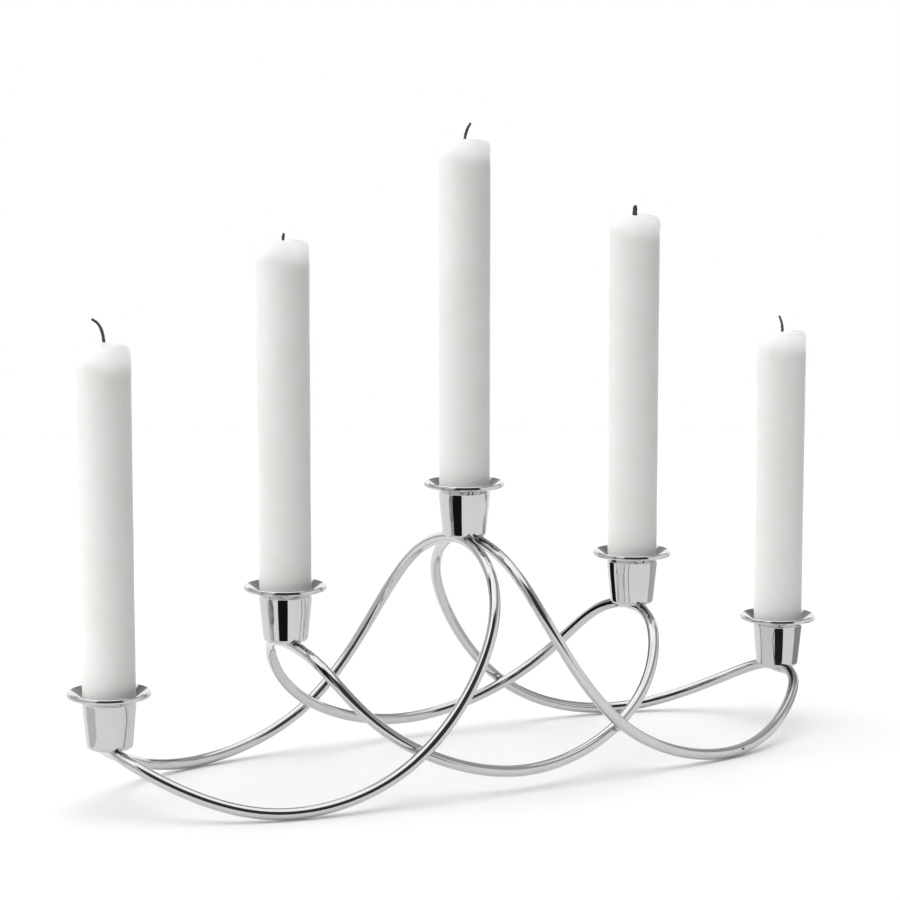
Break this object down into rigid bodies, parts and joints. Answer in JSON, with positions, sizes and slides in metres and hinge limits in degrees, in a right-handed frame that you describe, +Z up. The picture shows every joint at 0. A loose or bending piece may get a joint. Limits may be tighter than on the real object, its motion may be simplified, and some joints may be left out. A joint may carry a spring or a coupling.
{
  "type": "tabletop candelabra",
  "caption": "Low tabletop candelabra: interlaced closed loops of polished round rod carry a rising and falling row of flared candle cups with white dinner candles.",
  "frame": {"origin": "centre of the footprint, on the table the object stands on", "axes": "+X along the row of candles towards cup 5, +Y towards the back, +Z up"},
  "size_m": [0.369, 0.114, 0.2815],
  "materials": {
    "polished_rod": "mirror-polished stainless steel rod",
    "polished_cup": "mirror-polished turned steel",
    "braze_alloy": "silver brazing alloy, dressed and polished with the steel",
    "candle_wax": "white paraffin wax, satin",
    "charred_wick": "braided cotton, burnt black"
  },
  "bodies": {
    "stand": {"ring_left": "polished_rod", "ring_right": "polished_rod", "ring_middle": "polished_rod", "cup_1": "polished_cup", "cup_2": "polished_cup", "cup_3": "polished_cup", "cup_4": "polished_cup", "cup_5": "polished_cup", "braze_1": "braze_alloy", "braze_2": "braze_alloy", "braze_3": "braze_alloy", "braze_4": "braze_alloy", "braze_5": "braze_alloy", "weld_front_left": "braze_alloy", "weld_front_right": "braze_alloy", "weld_back_left": "braze_alloy", "weld_back_right": "braze_alloy"},
    "candle_1": {"candle_1": "candle_wax", "wick_1": "charred_wick"},
    "candle_2": {"candle_2": "candle_wax", "wick_2": "charred_wick"},
    "candle_3": {"candle_3": "candle_wax", "wick_3": "charred_wick"},
    "candle_4": {"candle_4": "candle_wax", "wick_4": "charred_wick"},
    "candle_5": {"candle_5": "candle_wax", "wick_5": "charred_wick"}
  },
  "joints": [
    {"name": "candle_1_lift", "type": "slide", "parent": "stand", "child": "candle_1", "axis": [0, 0, 1], "range_m": [0, 0.03]},
    {"name": "candle_2_lift", "type": "slide", "parent": "stand", "child": "candle_2", "axis": [0, 0, 1], "range_m": [0, 0.03]},
    {"name": "candle_3_lift", "type": "slide", "parent": "stand", "child": "candle_3", "axis": [0, 0, 1], "range_m": [0, 0.03]},
    {"name": "candle_4_lift", "type": "slide", "parent": "stand", "child": "candle_4", "axis": [0, 0, 1], "range_m": [0, 0.03]},
    {"name": "candle_5_lift", "type": "slide", "parent": "stand", "child": "candle_5", "axis": [0, 0, 1], "range_m": [0, 0.03]}
  ]
}
